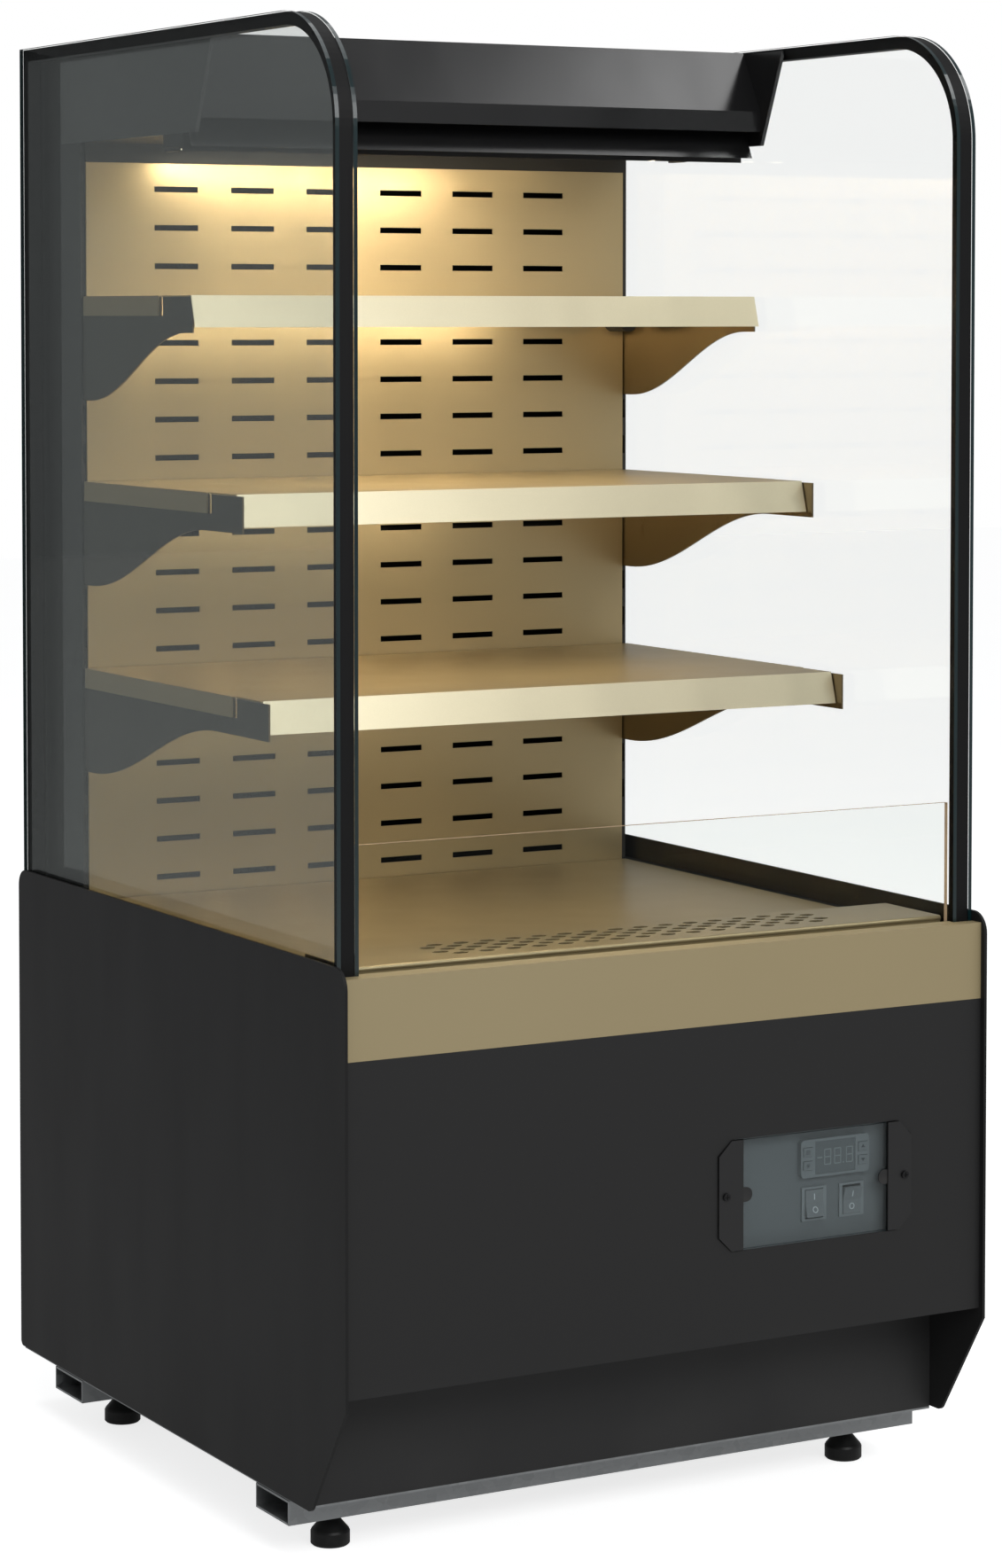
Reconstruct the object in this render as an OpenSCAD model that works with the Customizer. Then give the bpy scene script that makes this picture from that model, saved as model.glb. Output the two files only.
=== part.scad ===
// Open-fronted refrigerated display case for a bakery counter: glass sides, three shelves on a
// slotted back, a canopy with an air outlet, and a machine compartment below the deck.
// Axes: x to the right seen from the front, y to the rear, z up from the floor.
// Most profiles are given as [depth, height]: depth is measured back from the front edge of the sides.

/* [Overall] */
// width over the two side panels
case_w = 700; // [640:5:900]
// depth from the front edge to the rear edge of the side panels
case_d = 750; // [640:5:900]
// height from the floor to the top edge of the side glass
case_h = 1418; // [1200:1:1700]

/* [Base and feet] */
// height of the levelling feet under the base rails
foot_h = 34; // [30:1:44]
// diameter of a foot pad
foot_dia = 37; // [30:1:44]
// thread diameter of a foot stud
stud_dia = 10; // [8:1:12]
// radial clearance between a stud and its weld nut
stud_fit = 0.08; // [0.05:0.01:0.1]
// depth of a base rail, front to rear
rail_dep = 69; // [60:1:80]
// height of a base rail
rail_h = 23; // [18:1:28]
// wall of a base rail
rail_wall = 2; // [1.5:0.5:3]
// depth of the front face of the front rail
rail_front_at = 118.5; // [100:0.5:140]
// distance from the rear edge of the case to the front face of the rear rail
rail_rear_gap = 156.5; // [140:0.5:190]
// distance from the side of the case to the centre of a foot
foot_inset = 62; // [45:1:90]
// sheet thickness of the base pan
pan_t = 2; // [1.5:0.5:3]

/* [Body panels] */
// thickness of a side panel
side_t = 3; // [2:0.5:4]
// gap between the base rails and the bottom edge of the side panels
side_lift = 3; // [1:0.5:7]
// height of the side panels above the rim of the tub
side_rise = 36; // [32:1:42]
// height where the front edge of a side panel starts to slope back
side_cut_z = 167; // [130:1:180]
// how far the sloping edge runs back at the bottom
side_cut_d = 63; // [40:1:75]
// sheet thickness of the front panels
sheet = 1.5; // [1:0.1:2]
// depth of the front faces behind the side panel edges
face_at = 6; // [4:0.5:9]
// bottom edge of the front panel
panel_z0 = 176; // [174:1:190]
// joint between front panel and coloured strip
strip_z0 = 480; // [470:1:484]
// height of the coloured strip above the rim of the tub
strip_rise = 26; // [24:0.5:28]
// depth of the kick plate
kick_at = 88; // [80:1:100]

/* [Insulated tub and deck] */
// depth of the front face of the insulated tub
tub_at = 20; // [19.5:0.5:24]
// underside of the insulated tub
tub_z0 = 375; // [375:1:380]
// top rim of the insulated tub
tub_z1 = 528; // [524:1:530]
// wall of the insulated tub
tub_wall = 40; // [30:1:45]
// thickness of the insulated rear wall
wall_core = 58; // [50:1:64]
// height of the deck surface above the rim of the tub
deck_rise = 15.5; // [12:0.5:20]
// height of the raised air-return grille above the rim of the tub
grille_rise = 30.5; // [28:0.5:34]
// front edge of the grille
grille_d0 = 39; // [39:0.5:42]
// rear edge of the grille
grille_d1 = 133; // [125:1:150]
// number of holes in the short rows of the grille
grille_holes = 15; // [7:1:17]
// spacing of the grille holes along a row
grille_pitch = 28; // [24:1:30]
// spacing of the rows of holes
grille_row = 12.6; // [12:0.1:14]

/* [Glass] */
// gap between a side panel and the outer pane
glass_gap = 0.2; // [0.1:0.1:1]
// thickness of one pane
pane_t = 4; // [3:0.5:5]
// thickness of the whole double-glazed unit
unit_t = 22; // [18:1:24]
// depth of the front edge of the side glass
glass_d0 = 21.7; // [21:0.1:25]
// radius of the upper front corner of the side glass
glass_r = 108; // [80:1:130]
// width of the spacer around the edge of the unit
spacer_w = 12; // [8:1:14]
// depth of the front face of the front guard glass
guard_at = 29.5; // [28:0.5:30]
// height of the front guard glass above the coloured strip
guard_rise = 116; // [60:1:160]
// thickness of the guard glass
guard_t = 5; // [4:0.5:6]

/* [Back panel and uprights] */
// distance from the rear edge of the case to the face of the back panel
back_gap = 114; // [110:1:118]
// how far the back panel stops below the canopy ends
back_drop = 15.5; // [13:0.5:20]
// height of the lowest row of slots above the rim of the tub
slot_rise = 33.5; // [28:0.5:42]
// vertical spacing of the slots
slot_pitch = 39.5; // [36:0.5:40]
// least height of plain sheet above the top row of slots
slot_margin = 20; // [12:1:60]
// columns of slots
slot_cols = 6; // [4:1:6]
// horizontal spacing of the slot columns
slot_col_pitch = 87.3; // [80:0.1:95]
// length of a slot
slot_len = 49.5; // [30:0.5:60]
// height of a slot
slot_h = 6; // [4:0.5:8]

/* [Shelves] */
// height of the lower shelf as a share of the bay from deck to canopy
lower_share = 0.308; // [0.28:0.002:0.33]
// height of the middle shelf as a share of the bay
middle_share = 0.555; // [0.53:0.005:0.58]
// height of the upper shelf as a share of the bay
upper_share = 0.7985; // [0.785:0.0005:0.81]
// depth of the front edge of the lower shelf
lower_shelf_d = 226.5; // [222:0.5:236]
// depth of the front edge of the middle shelf
middle_shelf_d = 281.5; // [277:0.5:291]
// depth of the front edge of the upper shelf
upper_shelf_d = 376; // [375:0.5:380]
// depth of the bracket tips of the lower shelf
lower_tip_d = 209; // [205:0.5:212]
// depth of the bracket tips of the middle shelf
middle_tip_d = 264; // [260:0.5:267]
// depth of the bracket tips of the upper shelf
upper_tip_d = 374; // [371:0.5:375]
// how far the lower edge of a price rail leans forward
rail_lean = 9; // [4:1:12]
// depth where the curve under the lower brackets begins
lower_curve_d = 322; // [300:1:345]
// depth where the curve under the middle brackets begins
middle_curve_d = 345; // [325:1:365]
// depth where the curve under the upper brackets begins
upper_curve_d = 392; // [388:1:410]
// fall of a bracket below the shelf at its tip
tip_drop = 36.5; // [32:0.5:42]
// fall of a bracket below the shelf at the rear
heel_drop = 106; // [90:1:112]
// thickness of a bracket plate
bracket_t = 2; // [1.5:0.5:3]
// depth of the side flange folded down from a shelf
flange_h = 20; // [14:1:26]
// height of a price rail
rail_face = 31; // [26:1:34]
// lift that frees a shelf from the uprights
lift = 12; // [8:1:12]

/* [Canopy] */
// how far the canopy top lies below the top of the side glass
canopy_drop = 2; // [1:0.5:6]
// height of the canopy from its top to the lower edge of its ends
canopy_h = 97.5; // [92:0.5:110]
// depth of the lower front corner of a canopy end
cheek_low_d = 362; // [350:1:366]
// depth of the upper front corner of a canopy end
cheek_top_d = 322; // [310:1:345]
// thickness of a canopy end
cheek_t = 4; // [3:0.5:6]
// depth of the top edge of the fascia
fascia_top_d = 396; // [392:1:398]
// depth of the lower edge of the fascia
fascia_low_d = 362.6; // [360:0.1:366]
// height of the sloping part of the fascia
fascia_h = 62.3; // [56:0.1:66]
// height of the upright lip below the sloping part
lip_h = 21; // [16:1:24]
// depth of the air outlet from front to rear
outlet_dep = 43; // [38:1:50]
// how far the air outlet hangs below the canopy ends
outlet_drop = 12.5; // [10:0.5:14]

/* [Controls] */
// distance from the right side of the case to the centre of the control window
window_from_right = 195; // [140:1:300]
// gap between the control tray and the insulated tub above it
window_gap = 1.25; // [0.5:0.25:8]
// depth of the floor of the control tray
tray_at = 20; // [18:0.5:24]
// width of the control cover over both ears
cover_w = 219; // [219:1:225]
// height of the control cover
cover_h = 104.5; // [100:0.5:106]
// width of one ear of the cover
ear_w = 27; // [24:1:30]
// width of the controller bezel
ctl_w = 78; // [74:1:82]
// height of the controller bezel
ctl_h = 36.5; // [34:0.5:40]
// swing of a rocker to each side of its middle
rocker_tilt = 8; // [5:1:9]
// travel of a controller button
button_travel = 0.8; // [0.5:0.1:1]

/* [Refrigeration] */
// radius of the compressor shell
comp_r = 78; // [60:1:84]
// distance from the right side of the case to the compressor axis
comp_from_right = 170; // [150:1:190]
// distance from the rear edge of the case to the compressor axis
comp_from_rear = 280; // [240:1:300]
// left edge of the condenser coil, from the left side of the case
coil_x0 = 70; // [50:1:90]
// height of the condenser coil
coil_h = 230; // [200:1:250]
// outer radius of a refrigerant liquid pipe
pipe_r = 3; // [2.5:0.5:4]

/* [Running fits] */
// gap left around parts that lift or slide
slip = 0.4; // [0.3:0.05:0.6]
// radial clearance of a fan shaft in its motor
shaft_fit = 0.05; // [0.02:0.01:0.1]

/* [Hidden] */

black = [0.17, 0.17, 0.175];
gold = [0.70, 0.62, 0.42];
zinc = [0.62, 0.64, 0.65];
clear = [0.75, 0.88, 0.87, 0.4];

// heights built up from the floor
rail_z1 = foot_h + rail_h;
pan_z1 = rail_z1 + pan_t;
side_z0 = rail_z1 + side_lift;
side_z1 = tub_z1 + side_rise;
strip_z1 = tub_z1 + strip_rise;
deck_z = tub_z1 + deck_rise;
grille_z = tub_z1 + grille_rise;
// bottom and top edges of the front guard glass
guard_z0 = tub_z1 + 9;
guard_z = strip_z1 + guard_rise;
// heights measured down from the top of the glass
canopy_z1 = case_h - canopy_drop;
cheek_z0 = canopy_z1 - canopy_h;
back_z1 = cheek_z0 - back_drop;
wall_z1 = canopy_z1 - 1.5;
outlet_z0 = cheek_z0 - outlet_drop;
fascia_low_z = canopy_z1 - fascia_h;
// depths measured forward from the rear edge
rear_at = case_d - 4;
wall_at = rear_at - wall_core;
back_at = case_d - back_gap;
rail_rear_at = case_d - rail_rear_gap;
// front face of the uprights
up_at = back_at + 2;
up_sheet = 2;
up_w = 20;
// front and rear faces of the air outlet
duct_d0 = fascia_top_d + 3;
duct_d1 = duct_d0 + outlet_dep;
// inner faces of the double-glazed units, from the side of the case
glass_inset = side_t + glass_gap;
bay_x0 = glass_inset + unit_t;
// side position of the bracket plates
bracket_x = bay_x0 + 2.3;
// rows of slots that fit the back panel, and their lowest height
slot_z0 = tub_z1 + slot_rise;
slot_rows = floor((back_z1 - slot_margin - slot_z0) / slot_pitch) + 1;
shelf_d = [lower_shelf_d, middle_shelf_d, upper_shelf_d];
tip_d = [lower_tip_d, middle_tip_d, upper_tip_d];
curve_d = [lower_curve_d, middle_curve_d, upper_curve_d];
shelf_z = [for (s = [lower_share, middle_share, upper_share]) deck_z + s * (cheek_z0 - deck_z)];

function fx(x) = x - case_w / 2;
function fy(d) = d - case_d / 2;
function mid(x) = case_w - x;
// points of an arc in [depth, height], a0 to a1 in degrees
function arc(c, r, a0, a1, n) = [for (i = [0:n]) let (a = a0 + (a1 - a0) * i / n)
    [c[0] + r * cos(a), c[1] + r * sin(a)]];
function ease(t) = (1 - cos(180 * t)) / 2;

// box from side position, depth and height ranges
module slab(x0, x1, d0, d1, z0, z1) {
    translate([fx(x0), fy(d0), z0])
        cube([x1 - x0, d1 - d0, z1 - z0]);
}

// profile of [depth, height] points drawn out from side position x0 to x1
module side_profile(x0, x1, pts) {
    translate([fx(x0), fy(0), 0])
        rotate([90, 0, 90])
            linear_extrude(x1 - x0)
                polygon(pts);
}

// profile of [side position, height] points drawn out from depth d0 to d1
module face_profile(d0, d1, pts) {
    translate([fx(0), fy(d1), 0])
        rotate([90, 0, 0])
            linear_extrude(d1 - d0)
                polygon(pts);
}

// cylinder along the depth
module rod_y(x, d0, d1, z, r, n = 32) {
    translate([fx(x), fy(d1), z])
        rotate([90, 0, 0])
            cylinder(h = d1 - d0, r = r, $fn = n);
}

module both_sides() {
    children();
    mirror([1, 0, 0]) children();
}

// ---------------------------------------------------------------- base

module rail_tube(d0) {
    difference() {
        slab(2, case_w - 2, d0, d0 + rail_dep, foot_h, rail_z1);
        slab(0, case_w, d0 + rail_wall, d0 + rail_dep - rail_wall, foot_h + rail_wall, rail_z1 - rail_wall);
        for (x = [foot_inset, mid(foot_inset)])
            translate([fx(x), fy(d0 + rail_dep / 2), foot_h - 1])
                cylinder(h = rail_wall + 2, r = stud_dia / 2 + 1, $fn = 32);
    }
    // weld nuts for the foot studs
    for (x = [foot_inset, mid(foot_inset)])
        translate([fx(x), fy(d0 + rail_dep / 2), foot_h + rail_wall])
            difference() {
                cylinder(h = 8, r = stud_dia * 0.95, $fn = 6);
                translate([0, 0, -1]) cylinder(h = 10, r = stud_dia / 2 + stud_fit, $fn = 32);
            }
}

module base_rails() {
    color(zinc) {
        rail_tube(rail_front_at);
        rail_tube(rail_rear_at);
    }
}

module base_pan() {
    color(zinc) difference() {
        union() {
            slab(side_t, mid(side_t), kick_at, rear_at, rail_z1, pan_z1);
            slab(side_t, side_t + pan_t, kick_at + 4, rear_at, rail_z1, pan_z1 + 24);
            slab(mid(side_t + pan_t), mid(side_t), kick_at + 4, rear_at, rail_z1, pan_z1 + 24);
        }
        // cooling air slots under the condenser
        for (x = [coil_x0 + 20:24:coil_x1 - 30])
            slab(x, x + 12, 220, 330, rail_z1 - 1, pan_z1 + 1);
    }
}

module foot(x, d) {
    translate([fx(x), fy(d), 0]) color(black) {
        rotate_extrude($fn = 48)
            polygon([[0, 0], [foot_dia / 2 - 1.5, 0], [foot_dia / 2, 1.5], [foot_dia / 2, 12.5],
                [foot_dia / 2 - 1, 14.5], [8.5, foot_h - 9], [8.5, foot_h - 6], [0, foot_h - 6]]);
        translate([0, 0, foot_h - 6.5]) cylinder(h = 6, r = 9.3, $fn = 6);
        cylinder(h = foot_h + rail_wall + 11, r = stud_dia / 2, $fn = 32);
    }
}

// ---------------------------------------------------------------- body

module side_panel() {
    color(black) side_profile(0, side_t, concat(
        arc([20, side_z1 - 20], 20, 180, 90, 10),
        arc([case_d - 17, side_z1 - 17], 17, 90, 0, 10),
        arc([case_d - 6, side_z0 + 6], 6, 0, -90, 6),
        arc([side_cut_d + 11.5, side_z0 + 10], 10, -90, -150, 6),
        [[0, side_cut_z]]));
}

module front_panel() {
    z1 = strip_z0;
    wx0 = window_x - cover_w / 2 + 18;
    wx1 = window_x + cover_w / 2 - 18;
    wz = cover_h / 2 + 1;
    color(black) difference() {
        union() {
            slab(side_t, mid(side_t), face_at, face_at + sheet, panel_z0, z1);
            slab(side_t, mid(side_t), face_at, face_at + 20, panel_z0, panel_z0 + sheet);
            slab(side_t, mid(side_t), face_at, face_at + 14, z1 - sheet, z1);
            slab(side_t, side_t + sheet, face_at, face_at + 14, panel_z0, z1);
            slab(mid(side_t + sheet), mid(side_t), face_at, face_at + 14, panel_z0, z1);
        }
        slab(wx0, wx1, face_at - 1, face_at + sheet + 1, window_z - wz, window_z + wz);
        // clearance holes for the two cover screws
        for (s = [-1, 1])
            rod_y(screw_x(s), face_at - 1, face_at + sheet + 1, window_z, 2.2, 24);
    }
}

module front_strip() {
    z = strip_z1;
    g0 = guard_at - slip - sheet;
    g1 = guard_at + guard_t + slip;
    color(gold) {
        slab(side_t, mid(side_t), face_at, face_at + sheet, strip_z0, z);
        slab(side_t, mid(side_t), face_at, face_at + 12, strip_z0, strip_z0 + sheet);
        slab(side_t, mid(side_t), face_at, tub_at + 0.5, z - sheet, z);
        // folded channel that holds the guard glass
        side_profile(bay_x0 + 0.3, mid(bay_x0 + 0.3), [[tub_at, z - sheet], [tub_at, z],
            [g0 + sheet, z], [g0 + sheet, guard_z0], [g1, guard_z0], [g1, z - 3], [g1 + sheet, z - 3],
            [g1 + sheet, guard_z0 - sheet], [g0, guard_z0 - sheet], [g0, z - sheet]]);
    }
}

module kick_plate() {
    color(black) {
        slab(side_t, mid(side_t), kick_at, kick_at + sheet, pan_z1, panel_z0 - 4);
        slab(side_t, mid(side_t), kick_at, kick_at + 14, panel_z0 - 4 - sheet, panel_z0 - 4);
    }
}

module rear_cover() {
    color(black) difference() {
        slab(side_t, mid(side_t), rear_at, rear_at + sheet, side_z0 + 2, side_z1 - 24);
        // two banks of cooling slots
        for (i = [0:9])
            for (bank = [[130, case_w / 2 - 20], [case_w / 2 + 20, mid(130)]])
                slab(bank[0], bank[1], rear_at - 1, rear_at + 3, 120 + i * 22, 128 + i * 22);
        rod_y(70, rear_at - 1, rear_at + 3, 110, 12.2, 48);
    }
}

module rear_wall() {
    color(black) difference() {
        slab(bay_x0 + 0.2, mid(bay_x0 + 0.2), wall_at, rear_at, tub_z1, wall_z1);
        // shadow grooves between the skins of the insulated wall
        for (z = [tub_z1 + 290, tub_z1 + 580])
            slab(bay_x0, mid(bay_x0), rear_at - 1, rear_at + 1, z, z + 3);
    }
}

module insulated_tub() {
    w = tub_wall;
    color([0.86, 0.86, 0.84]) difference() {
        slab(side_t, mid(side_t), tub_at, rear_at, tub_z0, tub_z1);
        slab(side_t + w, mid(side_t + w), tub_at + w, rear_at - tub_rear, ev_z0 - 1, tub_z1 + 1);
        // passage for the refrigerant pipes
        translate([fx(pass_x), fy(pass_d), tub_z0 - 1]) cylinder(h = 40, r = 16, $fn = 40);
        // drain
        translate([fx(200), fy(200), tub_z0 - 1]) cylinder(h = 40, r = 11, $fn = 32);
    }
}

module deck_tray() {
    x0 = bay_x0 + 2.5;
    d0 = grille_d1 + 1.5;
    color(gold) {
        slab(x0, mid(x0), d0, back_at - 2.5, deck_z - sheet, deck_z);
        for (x = [x0, mid(x0 + sheet)])
            slab(x, x + sheet, d0, back_at - 2.5, tub_z1 + slip, deck_z);
        slab(x0, mid(x0), d0, d0 + sheet, tub_z1 + slip, deck_z);
    }
}

module air_return_grille() {
    x0 = bay_x0 + 2;
    t = 1.2;
    zt = grille_z;
    color(gold) difference() {
        union() {
            slab(x0, mid(x0), grille_d0 + 2, grille_d1, zt - t, zt);
            // rolled front edge
            translate([fx(x0), fy(grille_d0 + 2.6), zt - 2.6])
                rotate([0, 90, 0])
                    cylinder(h = case_w - 2 * x0, r = 2.6, $fn = 28);
            slab(x0, mid(x0), grille_d0 + 1, grille_d0 + 1 + t, tub_z1 + slip, zt - 2);
            slab(x0, mid(x0), grille_d1 - t, grille_d1, tub_z1 + slip, zt);
        }
        for (r = [0:4])
            for (i = [0:grille_holes - 1 + r % 2])
                translate([grille_pitch * (i - (grille_holes - 1 + r % 2) / 2),
                    fy(grille_d0 + 28.8 + r * grille_row), zt - 3])
                    linear_extrude(5)
                        polygon([[-9, 0], [-4, 5], [4, 5], [9, 0], [4, -5], [-4, -5]]);
    }
}

module guard_glass() {
    color(clear) slab(bay_x0 + 1.5, mid(bay_x0 + 1.5), guard_at, guard_at + guard_t, guard_z0, guard_z);
}

module back_panel() {
    x0 = bay_x0 + 5.6;
    color(gold) difference() {
        union() {
            slab(x0, mid(x0), back_at, back_at + 1.2, tub_z1 + 4, back_z1);
            slab(x0, x0 + 1.2, back_at, up_at, tub_z1 + 4, back_z1);
            slab(mid(x0 + 1.2), mid(x0), back_at, up_at, tub_z1 + 4, back_z1);
        }
        for (r = [0:slot_rows - 1])
            for (c = [0:slot_cols - 1])
                translate([slot_col_pitch * (c - (slot_cols - 1) / 2) - slot_len / 2,
                    fy(back_at - 1), slot_z0 + r * slot_pitch - slot_h / 2])
                    cube([slot_len, 3.5, slot_h]);
    }
}

// heights of the hook slots that serve one shelf
function hook_z(z) = [z - 26, z - 92];

module upright() {
    x0 = bay_x0 + 0.2;
    difference() {
        union() {
            slab(x0, x0 + up_w, up_at, up_at + up_sheet, tub_z1, cheek_z0);
            slab(x0, x0 + 1.6, up_at, wall_at, tub_z1, cheek_z0);
            slab(x0 + up_w - 1.6, x0 + up_w, up_at, up_at + 16, tub_z1, cheek_z0);
        }
        for (s = shelf_z)
            for (z = hook_z(s))
                slab(bracket_x - slip, bracket_x + bracket_t + slip, up_at - 1, up_at + up_sheet + 1,
                    z + 1 - slip, z + 10 + lift + slip);
        // spare slots for other shelf heights
        for (s = shelf_z)
            for (k = [1:2])
                slab(bracket_x - slip, bracket_x + bracket_t + slip, up_at - 1, up_at + up_sheet + 1,
                    s - 92 - 39.5 * k, s - 72 - 39.5 * k);
    }
}

module shelf_uprights() {
    color(black) both_sides() upright();
}

// ---------------------------------------------------------------- glass

// outline of a side glass, drawn in by a margin all round
function glass_outline(m) = concat(
    [[glass_d0 + m, tub_z1 + m], [case_d - 7 - m, tub_z1 + m], [case_d - 7 - m, case_h - m]],
    arc([glass_d0 + glass_r, case_h - glass_r], glass_r - m, 90, 180, 24));

module side_glass_panes() {
    color(clear) both_sides() {
        side_profile(glass_inset, glass_inset + pane_t, glass_outline(0));
        side_profile(glass_inset + unit_t - pane_t, glass_inset + unit_t, glass_outline(0));
    }
}

module side_glass_spacers() {
    x0 = glass_inset + pane_t;
    x1 = glass_inset + unit_t - pane_t;
    color(black) both_sides() difference() {
        side_profile(x0, x1, glass_outline(0.8));
        side_profile(x0 - 1, x1 + 1, glass_outline(0.8 + spacer_w));
    }
}

// ---------------------------------------------------------------- canopy

module canopy_ends() {
    x0 = bay_x0 + 0.2;
    color(black) both_sides()
        side_profile(x0, x0 + cheek_t, [[cheek_top_d, wall_z1 - 0.2], [cheek_low_d, cheek_z0],
            [wall_at, cheek_z0], [wall_at, wall_z1 - 0.2]]);
}

module canopy_shell() {
    x0 = bay_x0 + 0.2 + cheek_t;
    z1 = canopy_z1;
    b = duct_d0;
    color(black) {
        slab(x0, mid(x0), fascia_top_d, rear_at, z1 - sheet, z1);
        // front wall of the air box, carried down past the outlet
        slab(x0, mid(x0), b, b + sheet, outlet_z0 - 4, z1);
        for (x = [x0, mid(x0 + sheet)])
            slab(x, x + sheet, b, back_at, cheek_z0, z1);
        slab(x0, mid(x0), duct_d1, back_at, cheek_z0, cheek_z0 + sheet);
        slab(x0, mid(x0), duct_d1, duct_d1 + sheet, outlet_z0, cheek_z0 + sheet);
        // folded edge that closes the joint above the back panel
        slab(x0, mid(x0), back_at - sheet - 0.2, back_at - 0.2, back_z1 - 4, cheek_z0 + sheet);
        for (x = [x0, mid(x0 + sheet)])
            slab(x, x + sheet, b, duct_d1 + 1, outlet_z0, cheek_z0 + sheet);
    }
}

module canopy_fascia() {
    x0 = bay_x0 + 0.2 + cheek_t;
    ta = fascia_top_d;
    la = fascia_low_d;
    z = fascia_low_z;
    color(black) side_profile(x0, mid(x0), [[ta, canopy_z1], [la, z], [la, z - lip_h],
        [la + 12, z - lip_h], [la + 12, z - lip_h + sheet], [la + sheet, z - lip_h + sheet],
        [la + sheet, z - 0.4], [ta, canopy_z1 - 3]]);
}

module air_deflector() {
    x0 = bay_x0 + 0.2 + cheek_t;
    d = duct_d0;
    z = outlet_z0;
    color(black) side_profile(x0 + 0.5, mid(x0 + 0.5), [[d - 22, z], [d - 19.8, z], [d, z + 42],
        [d, z + 52], [d - 1.6, z + 52], [d - 1.6, z + 43]]);
}

module air_outlet_honeycomb() {
    x0 = bay_x0 + 0.2 + cheek_t + sheet;
    d0 = duct_d0 + sheet;
    row = (duct_d1 - d0) / 3.4;
    // cells about 14 mm apart fill the width
    n = round((case_w - 2 * x0 - 8) / 14.3);
    p = (case_w - 2 * x0 - 8) / n;
    color([0.3, 0.3, 0.31]) difference() {
        slab(x0, mid(x0), d0, duct_d1, outlet_z0 + 3, outlet_z0 + 10);
        for (r = [0:2])
            for (i = [0:n - 1])
                translate([fx(x0 + 4 + p * (i + 0.5) + (r % 2) * p / 2 - p / 4),
                    fy(d0 + row * (r + 0.7)), outlet_z0 - 1])
                    cylinder(h = 15, r = p * 0.44, $fn = 6);
    }
}

module canopy_lamp() {
    d = duct_d1 + 28;
    z = cheek_z0;
    color([0.95, 0.93, 0.85])
        side_profile(60, mid(60), [[d, z], [d + 22, z], [d + 18, z - 12], [d + 4, z - 12]]);
    color(black) for (x = [54, mid(60)])
        slab(x, x + 6, d - 2, d + 24, z - 14, z);
}

// ---------------------------------------------------------------- shelves

// depth where the side flange of a shelf begins
function notch_d(k) = tip_d[k] + 75;

module shelf_plate(k) {
    z = shelf_z[k];
    d0 = shelf_d[k];
    x0 = bracket_x - 1.5;
    color(gold) {
        slab(bracket_x + bracket_t, mid(bracket_x + bracket_t), d0 + 2, back_at - 3, z - 1.2, z);
        for (s = [0, 1]) mirror([s, 0, 0]) {
            slab(x0, bracket_x + bracket_t + 0.1, notch_d(k), back_at - 3, z - 1.2, z);
            slab(x0, x0 + 1.2, notch_d(k), back_at - 3, z - flange_h, z);
        }
        slab(bracket_x + bracket_t, mid(bracket_x + bracket_t), d0 + 2, d0 + 3.2, z - 18, z);
        slab(bracket_x + bracket_t, mid(bracket_x + bracket_t), back_at - 4.2, back_at - 3, z - 18, z);
    }
}

// lower edge of a bracket: level at the tip, then an S-curve down to the heel
function bracket_curve(k) = let (z = shelf_z[k], a = curve_d[k], b = back_at - 16)
    [for (i = [0:28]) [a + (b - a) * i / 28, z - tip_drop - (heel_drop - tip_drop) * ease(i / 28)]];

module shelf_brackets(k) {
    z = shelf_z[k];
    tip = tip_d[k];
    // the tip of the upper bracket is cut back behind the price rail
    top = k == 2 ? [[shelf_d[k] + 2, z - 1.4], [shelf_d[k] - 2, z - 14]] : [[tip, z - 1.4]];
    color([0.42, 0.40, 0.33]) both_sides() union() {
        difference() {
            side_profile(bracket_x, bracket_x + bracket_t, concat(top, [[tip, z - tip_drop]],
                bracket_curve(k), [[up_at - 0.4, z - heel_drop], [up_at - 0.4, z - 1.4]]));
            // slot between the tip and the folded flange of the shelf
            slab(bracket_x - 1, bracket_x + bracket_t + 1, notch_d(k) - 7, notch_d(k) - 1, z - 20, z + 1);
        }
        // hooks that drop behind the face of the upright
        for (h = hook_z(z)) side_profile(bracket_x, bracket_x + bracket_t, [[up_at - 1, h + 9.6],
            [up_at + up_sheet + 2.8, h + 9.6], [up_at + up_sheet + 2.8, h - 9.6],
            [up_at + up_sheet + 0.4, h - 9.6], [up_at + up_sheet + 0.4, h + 1], [up_at - 1, h + 1]]);
    }
}

module price_rail(k) {
    z = shelf_z[k];
    top = shelf_d[k];
    low = top - rail_lean;
    x0 = k == 2 ? bracket_x : bracket_x + bracket_t + 1;
    color([0.88, 0.85, 0.75]) side_profile(x0, mid(x0), [[top, z], [low, z - rail_face],
        [low + 3, z - rail_face], [low + 3, z - rail_face + 1.2], [low + 1.6, z - rail_face + 1.2],
        [top + 1.2, z - 1.6], [shelf_d[k] + 2, z - 1.6], [shelf_d[k] + 2, z]]);
}

module shelf_lamp(k) {
    z = shelf_z[k] - 1.2;
    d = shelf_d[k] + 40;
    color([0.95, 0.93, 0.85]) {
        side_profile(70, mid(70), [[d, z], [d + 22, z], [d + 19, z - 11], [d + 3, z - 11]]);
        // flat lead and plug at the rear
        slab(mid(64), mid(58), d + 9, back_at - 30, z - 3, z);
        slab(mid(71), mid(58), d + 6, d + 16, z - 8, z);
        difference() {
            translate([fx(mid(61)), fy(back_at - 46), z - 25])
                rotate([90, 0, 0]) cylinder(h = 34, r = 11, center = true, $fn = 40);
            slab(mid(80), mid(40), back_at - 80, back_at - 10, z - 50, z - 35.5);
        }
        slab(mid(66), mid(56), back_at - 60, back_at - 32, z - 18, z);
    }
}

// ---------------------------------------------------------------- controls

// how far the tray reaches above and below the cover
tray_rim = 3;
window_x = case_w - window_from_right;
window_z = tub_z0 - window_gap - sheet - tray_rim - cover_h / 2;

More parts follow.
